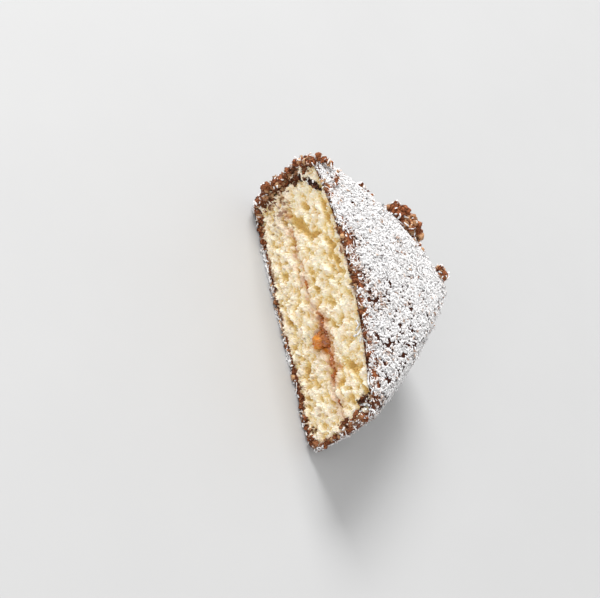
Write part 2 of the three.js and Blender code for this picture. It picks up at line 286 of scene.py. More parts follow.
def new_piece(name, shape, material, slot, *nodes):
    """Makes the shape built on the cake's axes a piece in the part's frame, in the place of those nodes."""
    to_frame = Matrix.Scale(MM, 4) @ Matrix.Translation(CUT_MIDDLE)
    bmesh.ops.transform(shape, matrix=to_frame, verts=shape.verts)
    for face in shape.faces:
        face.smooth = True
    mesh = bpy.data.meshes.new(name)
    shape.to_mesh(mesh)
    shape.free()
    piece = placed(name, mesh, material)
    if nodes:
        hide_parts(*nodes)
    return piece


def soaked(x, z):
    """How much jam has soaked into the crumb at a point of the cut: a patchy band, and the patches."""
    away = abs(z - jam_middle(x) - 0.8 * noise.noise(Vector((x / 5, 0.5, 7))))
    patch = 0.35 + 1.3 * uneven(x, z, 3.2, 21, 1.6)
    rich = 0.5 + 0.5 * smoothstep(x, 3, 9) * (1 - smoothstep(x, 29, 34))
    band = max(rich * patch * 1.5, 0) * math.exp(-((away / 2.2) ** 2))
    for middle_x, middle_z, half_long, half_high, strength in SOAKED_PATCHES:
        around = ((x - middle_x) / half_long) ** 2 + ((z - middle_z) / half_high) ** 2
        band = max(band, strength * (0.75 + patch / 2) * math.exp(-1.2 * around))
    return min(band, 1)


def stained(x, z, height):
    """How much icing has soaked into the crumb at a point of the cut, in a ring along the icing and in
    streaks towards -X; the crumb is also made browner in small spots low down."""
    edge = min(abs(side_point(0, 1, height)[0]) - abs(x), height, EDGE_HEIGHT - height)
    deep = 1.5 + 1.6 * uneven(x, z, 6, 31)
    ring = 1 - smoothstep(edge, 0.4 + deep * 0.4, 1.4 + deep)
    left = (1 - smoothstep(x, -37, -24)) * (1 - smoothstep(abs(z - 13), 3, 7))
    streak = left * smoothstep(uneven(x + z, z - x, 3, 34, 1.3), -0.05, 0.3)
    spots = smoothstep(uneven(x, z, 1.3, 35, 1.1), 0.15, 0.6) * (1 - smoothstep(z, 7, 17))
    return min(max(0.9 * ring, 0.8 * streak, 0.5 * spots), 1)


def sponge_layer(name, bottom, top, seam_rise, node):
    """One layer: a dense torn face between two borders that bottom(x) and top(x) give, and a plain back.
    Its border on the jam is the upper one where seam_rise is 1, and the lower one where it is 0."""
    shape = bmesh.new()
    columns = round(2 * CORNER_REACH / CRUMB_CELL)
    rows = round((top(0) - bottom(0)) / CRUMB_CELL)
    bmesh.ops.create_grid(shape, x_segments=columns, y_segments=rows, size=1)
    layers = point_layers(shape, "golden_shade", "jam_soak", "icing_stain", "height")
    golden_shade_layer, soak_layer, stain_layer, height_layer = layers
    for vertex in shape.verts:
        share, rise = vertex.co.x, (vertex.co.y + 1) / 2
        nominal = share * (CORNER_REACH - CORNER)
        height = bottom(nominal) + (top(nominal) - bottom(nominal)) * rise
        x = share * (side_point(0, 1, height)[0] - SPONGE_INSET)
        height = bottom(x) + (top(x) - bottom(x)) * rise
        z = height + dome_lift(x, 0, height)
        relief, golden_shade = crumb(x, z)
        to_seam = abs(seam_rise - rise) * (top(x) - bottom(x))
        to_skin = min((1 - abs(share)) * CORNER_REACH, abs(1 - seam_rise - rise) * (top(x) - bottom(x)))
        frayed = 0.7 + 1.3 * uneven(x, z, 1.9, 24)
        parted = 0.15 + 0.85 * smoothstep(x, -6, 8)
        sink = frayed * SKIN_SINK * (1 - smoothstep(to_skin, 0, SKIN_FADE)) ** 2
        sink += SEAM_SINK * parted * (1 - smoothstep(to_seam, 0, SEAM_FADE)) ** 2
        vertex.co = x, knife_wander(x, z) + relief + sink, z
        vertex[height_layer] = height
        vertex[golden_shade_layer] = min(max(golden_shade, 0), 1)
        vertex[soak_layer] = soaked(x, z)
        vertex[stain_layer] = stained(x, z, height)
    close_behind(shape, height_layer, SPONGE_SHOULDER, SPONGE_BACK)
    new_piece(name, shape, SPONGE, "sponge", node)


def new_material(name):
    """A new material, its node tree and its Principled shader."""
    material = bpy.data.materials.new(name)
    material.use_nodes = True
    tree = material.node_tree
    return material, tree, tree.nodes["Principled BSDF"]


def fill_inputs(tree, node, values):
    """Joins the node's inputs to the outputs that values holds, and sets the others."""
    for socket, value in values.items():
        if isinstance(value, bpy.types.NodeSocket):
            tree.links.new(value, node.inputs[socket])
        else:
            node.inputs[socket].default_value = value


def add_node(tree, kind, values=None, **settings):
    """Adds a node with those inputs and settings."""
    made = tree.nodes.new(kind)
    for setting, value in settings.items():
        setattr(made, setting, value)
    fill_inputs(tree, made, values or {})
    return made


def carried(tree, name):
    """The value that the mesh carries at each point under that name."""
    return add_node(tree, "ShaderNodeAttribute", attribute_name=name).outputs["Fac"]


def colour_ramp(tree, factor, *stops):
    """A colour ramp over (place, colour) stops, driven by factor."""
    ramp = add_node(tree, "ShaderNodeValToRGB", {"Fac": factor})
    elements = ramp.color_ramp.elements
    while len(elements) < len(stops):
        elements.new(0.5)
    for element, (place, colour) in zip(elements, stops):
        element.position = place
        element.color = (*colour, 1)
    return ramp.outputs["Color"]


def grey_ramp(tree, factor, *stops):
    """A ramp over (place, value) stops."""
    return colour_ramp(tree, factor, *((place, (value,) * 3) for place, value in stops))


def mixed(tree, factor, first, second, blend="MIX"):
    """A colour mix of two colours or outputs: this node has its colours at 6 and 7 and the result at 2."""
    values = {0: factor, 6: first, 7: second}
    return add_node(tree, "ShaderNodeMix", values, data_type="RGBA", blend_type=blend).outputs[2]


def grain_group():
    """Fine and coarse mottling on the piece's own axes, shared by every finish of the cake."""
    group = bpy.data.node_groups.new("food_grain", "ShaderNodeTree")
    socket = group.interface.new_socket
    socket("Fine Size", in_out="INPUT", socket_type="NodeSocketFloat").default_value = 0.4
    socket("Coarse Size", in_out="INPUT", socket_type="NodeSocketFloat").default_value = 4.0
    socket("Fine", in_out="OUTPUT", socket_type="NodeSocketFloat")
    socket("Coarse", in_out="OUTPUT", socket_type="NodeSocketFloat")
    given = add_node(group, "NodeGroupInput")
    result = add_node(group, "NodeGroupOutput")
    place = add_node(group, "ShaderNodeTexCoord").outputs["Object"]
    for output in ("Fine", "Coarse"):
        size = given.outputs[output + " Size"]
        scale = add_node(group, "ShaderNodeMath", {0: 1 / MM, 1: size}, operation="DIVIDE")
        values = {"Vector": place, "Scale": scale.outputs[0], "Detail": 3.0, "Roughness": 0.6}
        mottle = add_node(group, "ShaderNodeTexNoise", values)
        group.links.new(mottle.outputs["Fac"], result.inputs[output])
    return group


GRAIN = grain_group()


def grain(tree, fine, coarse):
    """The fine and the coarse mottling, with swells of about those sizes in millimetres."""
    made = add_node(tree, "ShaderNodeGroup", node_tree=GRAIN)
    fill_inputs(tree, made, {"Fine Size": fine, "Coarse Size": coarse})
    return made.outputs["Fine"], made.outputs["Coarse"]


def bumped(tree, height, distance, strength):
    """The normal of a surface that rises and falls by that many millimetres."""
    values = {"Height": height, "Distance": distance * MM, "Strength": strength}
    return add_node(tree, "ShaderNodeBump", values).outputs["Normal"]


def sponge_material():
    """Cream on the ridges, golden and darker down in the hollows as painted shade, orange by the jam and
    brown by the icing.
    """
    material, tree, shader = new_material("torn_sponge")
    fine, coarse = grain(tree, 0.35, 5)
    varied = add_node(tree, "ShaderNodeMath", {0: fine, 1: 0.5, 2: -0.25}, operation="MULTIPLY_ADD")
    # The ramp goes from cream to a dark golden brown: painted shade where the crumb lies deep.
    values = {0: carried(tree, "golden_shade"), 1: varied.outputs[0]}
    crumb_colour = colour_ramp(
        tree,
        add_node(tree, "ShaderNodeMath", values, operation="ADD").outputs[0],
        (0.0, (0.98, 0.91, 0.77)),
        (0.28, (0.93, 0.81, 0.57)),
        (0.55, (0.82, 0.61, 0.24)),
        (0.9, (0.61, 0.37, 0.06)),
    )
    blush = colour_ramp(tree, coarse, (0.35, (0.85, 0.73, 0.42)), (0.65, (0.90, 0.66, 0.44)))
    toned = mixed(tree, 0.22, crumb_colour, blush)
    jammy = mixed(tree, carried(tree, "jam_soak"), toned, (0.50, 0.155, 0.018, 1))
    finish = {
        "Base Color": mixed(tree, carried(tree, "icing_stain"), jammy, (0.24, 0.085, 0.03, 1)),
        "Roughness": 0.85,
        "Specular IOR Level": 0.12,
        "Subsurface Weight": 0.12,
        "Subsurface Radius": (1.0, 0.6, 0.3),
        "Subsurface Scale": 0.45 * MM,
        "Normal": bumped(tree, fine, 0.16, 0.9),
    }
    fill_inputs(tree, shader, finish)
    return material


SPONGE = sponge_material()


def jam_reach(x, up):
    """How far the jam reaches above (up 1) or below (up -1) its middle."""
    reach = JAM_HALF + 0.3 * noise.noise(Vector((x / 3, 5.5 * up, 0)))
    for middle_x, middle_z, half_wide, half_high, _ in JAM_BLOBS:
        bell = max(1 - ((x - middle_x) / (1.35 * half_wide)) ** 2, 0) ** 0.8
        reach = max(reach, bell * (up * (middle_z - jam_middle(x)) + half_high))
    return reach


def seam(x, up):
    """Height of the border of the layer above (up 1) or below (up -1) the jam, ragged by missing crumb."""
    gap = 0.05 + 0.9 * max(noise.noise(Vector((x / 2.3, 44 * up, 0))), 0) * smoothstep(x, -16, 6)
    return jam_middle(x) + up * max(jam_reach(x, up) - JAM_TUCK, gap)


sponge_layer("torn_sponge_lower", lambda x: SPONGE_INSET, lambda x: seam(x, -1), 1, "sponge_lower")
sponge_layer(
    "torn_sponge_upper", lambda x: seam(x, 1), lambda x: EDGE_HEIGHT - SPONGE_INSET, 0, "sponge_upper"
)


def crumb_template(seed):
    """A rough crumb about one unit across."""
    shape = bmesh.new()
    bmesh.ops.create_icosphere(shape, subdivisions=2, radius=0.5)
    for vertex in shape.verts:
        vertex.co *= 1 + 0.9 * noise.noise(vertex.co * 2.1 + Vector((seed, seed, seed)))
    return shape


def towards_knife(count):
    """The outward direction of the cut, once for each of that many things on it."""
    return np.tile((0.0, -1.0, 0.0), (count, 1))


def unit(vectors):
    """The vectors at length 1."""
    return vectors / np.linalg.norm(vectors, axis=1)[:, None]


def turned_frames(draw, normal, tilt):
    """For each normal, three axes: along and across the surface in a random direction, and nearly up."""
    up = unit(normal + tilt[:, None] * draw.normal(size=normal.shape))
    helper = draw.normal(size=normal.shape)
    along = unit(helper - (helper * up).sum(1)[:, None] * up)
    return np.stack([along, np.cross(up, along), up], 1)


def joined(name, template, at, axes, sizes, material, values, curl=None, ragged=0.12):
    """Copies of a template joined in one mesh: turned, sized, curled, each made ragged in its own way, and
    none below the base. Each named array of values becomes an attribute with one value to a copy."""
    shape_points = np.array([vertex.co for vertex in template.verts])
    shape_faces = np.array([[vertex.index for vertex in face.verts] for face in template.faces])
    template.free()
    count, corners = len(at), shape_faces.shape[1]
    jag = np.random.default_rng(count).normal(size=(count, len(shape_points), 3))
    local = (shape_points[None] + ragged * jag) * sizes[:, None, :]
    if curl is not None:
        reach = (shape_points[:, 0] * 2) ** 2
        local[:, :, 2] -= curl[:, :1] * reach * sizes[:, :1]
        local[:, :, 1] += curl[:, 1:] * reach * sizes[:, :1]
    places = np.einsum("nvk,nkj->nvj", local, axes) + at[:, None]
    floor = LOWEST + FLATTENED * np.maximum(shape_points[None, :, 2], 0)
    places[:, :, 2] = np.maximum(places[:, :, 2], floor)
    places = (places + np.array(CUT_MIDDLE)) * MM
    faces = shape_faces[None] + (np.arange(count) * len(shape_points))[:, None, None]
    mesh = bpy.data.meshes.new(name)
    mesh.from_pydata(places.reshape(-1, 3), [], faces.reshape(-1, corners), shade_flat=False)
    for layer, value in values.items():
        spread_out = np.repeat(value, len(shape_points)).astype(np.float32)
        mesh.attributes.new(layer, "FLOAT", "POINT").data.foreach_set("value", spread_out)
    placed(name, mesh, material)


def sponge_crumbs():
    """Loose crumbs that cling all over the torn face, most of them small."""
    draw = np.random.default_rng(SPONGE_CRUMB_SEED)
    places, golden_shade, soak, stain = [], [], [], []
    while len(places) < SPONGE_CRUMBS:
        x, height = draw.uniform(-47, 47), draw.uniform(1, EDGE_HEIGHT - 0.8)
        if abs(x) > side_point(0, 1, height)[0] - 0.8:
            continue
        z = height + dome_lift(x, 0, height)
        relief, depth = crumb(x, z)
        places.append((x, knife_wander(x, z) + relief - 0.12, z))
        # Painted shade: a crumb that lies deep takes the golden, darker colour of the hollows.
        golden_shade.append(max(depth - 0.15, 0))
        soak.append(soaked(x, z))
        stain.append(0.8 * stained(x, z, height))
    count = len(places)
    axes = turned_frames(draw, towards_knife(count), np.full(count, 0.6))
    sizes = 0.3 + 0.6 * draw.random((count, 1)) ** 3 * (1, 1, 0.8) + 0.15 * draw.random((count, 3))
    values = {"golden_shade": np.clip(golden_shade, 0, 1), "jam_soak": np.array(soak), "icing_stain": np.array(stain)}
    at = np.array(places)
    joined("sponge_crumbs", crumb_template(5), at, axes, sizes, SPONGE, values, ragged=0.03)


sponge_crumbs()

# ---- The jam ----
# A thin spread of apricot jam between the layers, soaked into the crumb on both sides.
# The knife dragged it out in glossy lumps, the largest of them from a pocket in the lower layer.
JAM_SHOULDER, JAM_BACK = 3.6, CORNER_REACH - 8  # where its plain back begins to narrow, and ends
JAM_INSET = SPONGE_INSET + 0.4  # how far it stays inside the outer skin
JAM_SET_BACK = 1.3  # how far its face lies behind the cut where it doesn't bulge
JAM_COLUMNS, JAM_ROWS = 520, 36  # points across its face and up it
POCKET_TOP = 18.4  # below this the jam is thick and clear; above it, it is full of crumb


def jam_blob(x, z):
    """How far the blobs push the jam's face out at a point of the cut."""
    out = 0
    for middle_x, middle_z, half_wide, half_high, push in JAM_BLOBS:
        away = ((x - middle_x) / half_wide) ** 2 + ((z - middle_z) / half_high) ** 2
        away *= 1 + 1.1 * uneven(x, z, 1.7, 52)
        out = max(out, push * max(1 - away * 0.8, 0) ** 0.7)
    return out


def jam_material():
    """Clear orange where it is thick, darker and redder where it is soaked full of crumb."""
    material, tree, shader = new_material("apricot_jam")
    fine, coarse = grain(tree, 0.6, 2.2)
    thin_colour = colour_ramp(tree, coarse, (0.35, (0.24, 0.055, 0.008)), (0.65, (0.50, 0.17, 0.025)))
    rich_colour = colour_ramp(tree, coarse, (0.35, (0.50, 0.135, 0.006)), (0.65, (0.74, 0.28, 0.015)))
    finish = {
        "Base Color": mixed(tree, carried(tree, "thick"), thin_colour, rich_colour),
        "Roughness": grey_ramp(tree, fine, (0.35, 0.16), (0.7, 0.42)),
        "Subsurface Weight": 0.4,
        "Subsurface Radius": (1.0, 0.4, 0.1),
        "Subsurface Scale": 1.5 * MM,
        "Coat Weight": 0.35,
        "Coat Roughness": 0.12,
        "Normal": bumped(tree, fine, 0.15, 0.5),
    }
    fill_inputs(tree, shader, finish)
    return material


def jam_filling():
    """The whole spread: a dense face at the cut, raised in lumps, and a plain back."""
    shape = bmesh.new()
    bmesh.ops.create_grid(shape, x_segments=JAM_COLUMNS, y_segments=JAM_ROWS, size=1)
    thick_layer, height_layer = point_layers(shape, "thick", "height")
    for vertex in shape.verts:
        share, rise = vertex.co.x, vertex.co.y
        x = share * (side_point(0, 1, JAM_LOW)[0] - JAM_INSET)
        height = jam_middle(x) + rise * jam_reach(x, math.copysign(1, rise))
        z = height + dome_lift(x, 0, height)
        out = jam_blob(x, z)
        rounding = 0.9 * abs(rise) ** 3
        relief = JAM_SET_BACK - 1.4 * out + craggy(x, z, 1.3, 51) + rounding
        vertex.co = x, knife_wander(x, z) + relief, z
        vertex[height_layer] = height
        vertex[thick_layer] = smoothstep(out * (1 if z < POCKET_TOP else 0.45), 0.5, 1.2)
    close_behind(shape, height_layer, JAM_SHOULDER, JAM_BACK)
    new_piece("jam_spread", shape, jam_material(), "jam", "jam_filling")


jam_filling()

# ---- The chocolate icing ----
# A thin runny icing of cocoa and sugar: the block was dipped and left to drip, and set rough.
# It is a closed shell, thickest at the cut corners, and its edge at the cut is ragged and crumbly.
ICING = 1.5  # thickness of the shell
CAKE_MIDDLE = Vector((0, 12, 18))  # the bumps of its skin rise away from here
RIM_WIDTH, RIM_LEAST = 0.95, 0.65  # how far the icing's cut edge reaches over the sponge
RIM_PATCHES = [  # where the rim spreads over the crumb: x, z, reach, extra width, how dark the icing is
    (-47, 18, 8, 5.0, 0.35),
    (-46, 10, 6, 4.4, 0.35),
    (-45, 4, 6, 3.0, 0.4),
    (-44, 27, 4.5, 2.2, 0.9),
    (-40, 33, 4.5, 2.6, 1.0),
    (-34, 37, 4, 1.8, 1.0),
    (43, 34, 4.5, 2.8, 0.8),
    (46, 25, 6, 1.8, 0.4),
    (47, 12, 7, 0.8, 0.3),
    (45, 4, 5, 1.6, 0.4),
    (-12, 41, 5, 1.2, 0.3),
    (-9, 0, 4, 0.6, 0.2),
]
CRUST = [  # where crumbs are set in the rim: x, z, half width, half height, how dark, how many
    (-45, 17, 2.6, 6.5, 0.3, 170),
    (-43.5, 8, 2.6, 4, 0.3, 80),
    (-44, 25, 2, 2.4, 0.6, 40),
    (-44, 33, 1.8, 4, 0.3, 54),
    (-41.6, 29, 1.6, 1.2, 0.9, 7),
    (-39, 31.2, 1.6, 1.2, 0.9, 7),
    (-36.6, 33.4, 1.6, 1.1, 0.9, 7),
    (-34, 35, 1.6, 0.8, 1.0, 7),
    (-30, 38.6, 4, 0.8, 0, 22),
    (-41, 2.2, 4, 1.4, 0.1, 44),
    (-32, 0.9, 5, 0.5, 0, 20),
    (-13, 38.4, 5, 1.0, 0.3, 64),
    (3, 38.6, 4, 0.6, 0.3, 26),
    (14, 38.6, 3, 0.6, 0.3, 18),
    (24, 38.7, 5, 0.6, 0.2, 18),
    (34, 38.4, 4, 0.9, 0.4, 26),
    (42, 34, 2.0, 3.4, 0.7, 40),
    (45.5, 29, 1.6, 3, 0.3, 40),
    (45.5, 21, 1.4, 4, 0.3, 34),
    (47, 11, 0.8, 5, 0.3, 28),
    (44, 3.4, 3.6, 1.4, 0.3, 50),
    (-8, 1.2, 4, 0.7, 0, 20),
    (10, 0.9, 1.6, 0.5, 0, 6),
    (20, 1.2, 2, 0.6, 0, 12),
    (34, 1.8, 6, 0.8, 0.1, 34),
]
CRUST_SEED = 64
UNDER_FLAKE_SHADE = 0.92  # painted shade: how dark the icing is made where it shows between the flakes, in their shade
SKIN_ROWS, RIM_ROWS = 62, 20  # rings of the shell from the square corner to the cut, and across the rim
INNER_SHARES = [0.05, 0.2, 0.5, 0.8, 0.96]  # where its rings lie inside, from the cut to the corner
SKIN_LOWEST, RIM_LOWEST = 0.35, 0.5  # how low the skin and all within it may reach
RIM_DIVE = 1.9  # how far the rim's inner border dives into the crumb
SCRAPED_X = -4.5  # the knife scraped the base's rim thin and pale round here
CONTOUR_CELL = 0.3  # spacing of the points round the cut
CONTOUR_RUNS = 42, 6.5, 31, 9.5, 38  # lengths: half the base, its edge, wall, top edge and half the top


def half_contour():
    """Points up one side of the cut, from the middle of the base to the middle of the top: share of the
    width, and height."""
    base, base_turn, wall, top_turn, top = (round(run / CONTOUR_CELL) for run in CONTOUR_RUNS)
    wall_top = EDGE_HEIGHT - TOP_EDGE
    points = [(share, 0) for share in np.linspace(0, 1, base, endpoint=False)]
    for turn in np.linspace(0, math.pi / 2, base_turn, endpoint=False):
        points.append((1, BASE_EDGE * (1 - math.cos(turn))))
    points += [(1, height) for height in np.linspace(BASE_EDGE, wall_top, wall, endpoint=False)]
    for turn in np.linspace(0, math.pi / 2, top_turn, endpoint=False):
        points.append((1, wall_top + TOP_EDGE * math.sin(turn)))
    return points + [(share, EDGE_HEIGHT) for share in np.linspace(1, 0, top)]


def skin_point(side, share, height, along, inset=0.0):
    """A point of the outer skin, or of the surface that lies inside it by inset."""
    inside = inset + height * (1 - 2 * inset / EDGE_HEIGHT)
    x, y = side_point(along, side, height, inset)
    return Vector((share * x, y, inside + dome_lift(share * x, y, inside)))


def rim_extra(x, z):
    """Extra width of the rim at a point of the cut's edge, and how dark the icing is there."""
    extra, dark = 0, 0
    for patch_x, patch_z, reach, width, shade in RIM_PATCHES:
        near = math.exp(-((x - patch_x) ** 2 + (z - patch_z) ** 2) / reach**2)
        extra = max(extra, width * near)
        dark = max(dark, shade * near)
    return extra, dark


def icing_material():
    """Reddish brown and mottled, near black and glossy where it is thick, near black as painted shade under
    the flakes and in the clumps' hollows, and tan where crumb shows.
    """
    material, tree, shader = new_material("chocolate_icing")
    fine, coarse = grain(tree, 0.5, 1.5)
    # The dark value holds the thick icing's own near black, and painted shade under the flakes and in the
    # clumps' hollows.
    dark = carried(tree, "dark")
    brown = colour_ramp(
        tree,
        coarse,
        (0.32, (0.020, 0.003, 0.001)),
        (0.45, (0.095, 0.016, 0.004)),
        (0.57, (0.270, 0.070, 0.023)),
        (0.70, (0.560, 0.240, 0.105)),
    )
    speck = colour_ramp(tree, fine, (0.39, (0.022, 0.003, 0.001)), (0.60, (0.500, 0.185, 0.075)))
    mottled = mixed(tree, 0.5, brown, speck)
    crumbed = mixed(tree, carried(tree, "pale"), mottled, (0.76, 0.47, 0.25, 1))
    dull = grey_ramp(tree, fine, (0.3, 0.28), (0.7, 0.6))
    finish = {
        "Base Color": mixed(tree, dark, crumbed, (0.030, 0.006, 0.002, 1)),
        "Roughness": mixed(tree, dark, dull, (0.14, 0.14, 0.14, 1)),
        "Specular IOR Level": 0.1,
        "Coat Weight": grey_ramp(tree, dark, (0.93, 0), (1.0, 0.25)),
        "Coat Roughness": 0.1,
        "Normal": bumped(tree, fine, 0.3, 0.9),
    }
    fill_inputs(tree, shader, finish)
    return material


ICING_FINISH = icing_material()


def chocolate_icing():
    """The shell as one grid: round the cut in one direction, and over the skin, the rim and back inside
    in the other."""
    half = half_contour()
    ring = [(1, *point) for point in half] + [(-1, *point) for point in reversed(half)][1:]
    edge = np.array([skin_point(side, share, height, 0).xz for side, share, height in ring])
    tangent = np.roll(edge, -1, 0) - np.roll(edge, 1, 0)
    tangent[0] = tangent[-1] = (1, 0)
    inward = unit(np.stack([-tangent[:, 1], tangent[:, 0]], 1))
    rows = SKIN_ROWS + RIM_ROWS + len(INNER_SHARES)
    shape = bmesh.new()
    bmesh.ops.create_grid(shape, x_segments=len(ring) - 1, y_segments=rows - 1, size=1)
    dark_layer, pale_layer, skin_layer = point_layers(shape, "dark", "pale", "skin")
    ends = []
    for vertex in shape.verts:
        column = round((vertex.co.x + 1) / 2 * (len(ring) - 1))
        row = round((vertex.co.y + 1) / 2 * (rows - 1))
        if column in (0, len(ring) - 1) or row in (0, rows - 1):
            ends.append(vertex)
        side, share, height = ring[column]
        edge_x, edge_z = edge[column]
        extra, dark = rim_extra(edge_x, edge_z)
        ragged = craggy(edge_x, edge_z, 1.5, 61)
        width = max(RIM_WIDTH + extra + (1.1 + 0.4 * extra) * ragged, RIM_LEAST)
        if row < SKIN_ROWS:
            along = (1 - row / (SKIN_ROWS - 1)) ** 1.8
            point = skin_point(side, share, height, along)
            bump = 0.3 * noise.noise(point / 2.6) + 0.16 * noise.noise(point / 0.9)
            point += (point - CAKE_MIDDLE).normalized() * bump * smoothstep(point.z, 0.1, 2)
            vertex[skin_layer] = 1
            # Painted shade: the skin is made near black where the coconut covers it, so the gaps between
            # flakes look shaded.
            vertex[dark_layer] = max(dark * math.exp(-point.y / 3), UNDER_FLAKE_SHADE * smoothstep(point.y, 0, 4))
        elif row < SKIN_ROWS + RIM_ROWS:
            across = (row - SKIN_ROWS + 1) / RIM_ROWS
            reach = across * width
            x, z = edge_x + inward[column][0] * reach, edge_z + inward[column][1] * reach
            relief = 0.2 - (0.1 + 0.1 * extra) * math.sin(math.pi * min(across * 1.15, 1))
            relief -= 0.5 * granules(x, z, 1.3, 64) + 0.6 * craggy(x, z, 1.7, 62, finer=2.0)
            relief += RIM_DIVE * smoothstep(across, 0.75, 1)
            point = Vector((x, knife_wander(x, z) + relief, z))
            scraped = (1 - smoothstep(edge_z, 0.5, 3)) * (1 - smoothstep(abs(x - SCRAPED_X), 18, 26))
            vertex[pale_layer] = scraped * smoothstep(uneven(x, z, 2.4, 65, 1), -0.4, 0.2)
            vertex[dark_layer] = min(dark * 0.9 * (1 + uneven(x, z, 2.2, 63)), 1)
        else:
            along = INNER_SHARES[row - SKIN_ROWS - RIM_ROWS]
            point = skin_point(side, share, height, along, ICING)
        point.z = max(point.z, SKIN_LOWEST if row < SKIN_ROWS else RIM_LOWEST)
        vertex.co = point
    bmesh.ops.remove_doubles(shape, verts=ends, dist=0.004)
    bmesh.ops.dissolve_degenerate(shape, edges=shape.edges, dist=0.002)
    bmesh.ops.holes_fill(shape, edges=[item for item in shape.edges if item.is_boundary])
    bmesh.ops.recalc_face_normals(shape, faces=shape.faces)
    return new_piece("icing_shell", shape, ICING_FINISH, "coconut_coat", "chocolate_icing")


icing = chocolate_icing()


def crust_crumbs():
    """Crumbs set hard in the icing where it spread over the cut."""
    draw = np.random.default_rng(CRUST_SEED)
    places, dark, pale = [], [], []
    for middle_x, middle_z, half_wide, half_high, shade, count in CRUST:
        for _ in range(count):
            height = min(max(middle_z + half_high * draw.normal() / 1.6, 0.5), EDGE_HEIGHT - 0.4)
            wide = side_point(0, 1, height)[0] - 0.3
            x = min(max(middle_x + half_wide * draw.normal() / 1.6, -wide), wide)
            z = height + dome_lift(x, 0, height)
            places.append((x, knife_wander(x, z) + draw.uniform(-0.75, 0.45), z))
            dark.append(shade * draw.uniform(0, 1.6))
            pale.append(max(draw.uniform(-1.1, 0.9), 0) * (shade < 1))
    count = len(places)
    axes = turned_frames(draw, towards_knife(count), np.full(count, 0.8))
    sizes = 0.35 + 1.35 * draw.random((count, 1)) ** 2.5 + 0.35 * draw.random((count, 3))
    values = {"dark": np.minimum(dark, 1), "pale": np.array(pale)}
    at = np.array(places)
    joined("crust_crumbs", crumb_template(9), at, axes, sizes, ICING_FINISH, values)


crust_crumbs()

# ---- The coconut ----
# Desiccated coconut, rolled on while the icing was wet: fine chips, strips and a few long shreds,
# lying flat in several layers, thinner near the cut and rubbed off in a few places.
COCONUT_SEED, PLACES_SEED, EDGE_SEED, LAID_SEED = 7, 57, 97, 97
KINDS = [  # name, how many, also in gaps, cuts, length, width, thickness, height of the layers, tilt, tone
    ("under", 18000, False, 0, (0.5, 1.25), (0.4, 0.8), (0.08, 0.15), 0.12, 0.06, (0.25, 0.9)),
    ("chips", 18000, False, 0, (0.35, 0.95), (0.25, 0.55), (0.1, 0.2), 0.5, 0.25, (0.3, 1.0)),
    ("powder", 18000, False, 0, (0.2, 0.5), (0.16, 0.34), (0.1, 0.2), 0.65, 0.4, (0.5, 1.0)),
    ("strips", 3000, False, 2, (1.0, 2.2), (0.24, 0.42), (0.1, 0.2), 0.7, 0.22, (0.35, 1.0)),
    ("shreds", 140, False, 4, (2.8, 5.0), (0.28, 0.46), (0.12, 0.22), 0.9, 0.16, (0.5, 1.0)),
    ("stained", 450, True, 1, (0.6, 1.6), (0.3, 0.6), (0.15, 0.28), 0.6, 0.3, (0.0, 0.22)),
]
AT_EDGE = 760, (2, (0.8, 2.2), (0.26, 0.5), (0.12, 0.22), 0.3, 0.4, (0.3, 1.0))  # how many, and their kind
ON_CLUMPS = 1, (0.7, 1.9), (0.3, 0.6), (0.14, 0.26), 0.3, 0.5, (0.2, 1.0)  # the kind stuck to the clumps
FLAKE_RAGGED, LAID_RAGGED = 0.17, 0.1  # how far a flake's corners stray, as a share of its size
LAID_OUT, LAID_LEAN = 0.9, 0.12  # how far out of the cut the laid flakes are, and their slant outwards
LAID_THICKNESS, LAID_TONE = 0.25, 0.95
LAID = [  # long flakes across the cut: middle x and z, slope, length, width
    (36.5, 36.9, -10, 4.6, 0.6),
    (43.3, 32.9, 66, 5.2, 0.65),
    (44.5, 31.4, 80, 3.6, 0.5),
    (46.2, 35.2, 50, 3.6, 0.6),
    (17.4, 38.4, 20, 2.6, 0.5),
    (18.8, 37.8, -62, 3.0, 0.5),
    (20.9, 37.2, -76, 3.4, 0.5),
    (22.8, 38.0, -48, 2.8, 0.5),
    (14.4, 0.8, 75, 3.0, 0.5),
    (-20.5, 0.9, 20, 3.2, 0.5),
]
BARE = [  # rubbed places: middle x, y, z, radius, share of the coconut that is gone
    (-11, 0.5, 42, 5.4, 0.97),
    (-30, 0, 41, 3.8, 0.85),
    (-35, 5, 41, 2.6, 0.5),
    (3, 1, 42.5, 4.8, 0.88),
    (10.5, 6, 42, 6.5, 0.5),
    (-4, 0.5, 42.5, 3.0, 0.6),
    (10, 0.5, 42.3, 3.0, 0.55),
    (16, 0.5, 42, 2.6, 0.5),
    (24, 0.5, 41, 4.0, 0.6),
    (32, 0.5, 39.6, 3.6, 0.55),
    (37, 0.5, 38.2, 3.0, 0.6),
    (28, 8, 41, 4.0, 0.45),
    (43, 1, 33, 5.0, 0.8),
    (46.5, 0, 24, 7.0, 0.9),
    (47, 0, 12, 7.0, 0.7),
    (-46, 0, 22, 7.0, 0.9),
    (-44, 0, 34, 6.0, 0.92),
    (-42, 1, 41, 3.5, 0.9),
    (-45, 0, 8, 7.0, 0.8),
    (-36, 0, 0, 8.0, 0.9),
    (-8, 0, 0, 5.0, 0.9),
    (3, 0, 0, 6.0, 0.7),
    (21, 0, 0, 4.0, 0.8),
    (29, 0, 0, 7.0, 0.9),
    (42, 0, 0, 9.0, 0.9),
    (11, 22, 42, 2.4, 0.6),
    (9, 29, 41, 1.8, 0.6),
    (-13, 25, 42, 2.6, 0.55),
]
ICED_NEAR_BARE = 2.2  # how readily the flakes round a rubbed place have icing on them
COAT_SIDES = (-30, 30), (1.25, 0.85)  # how thick the coat is at those x
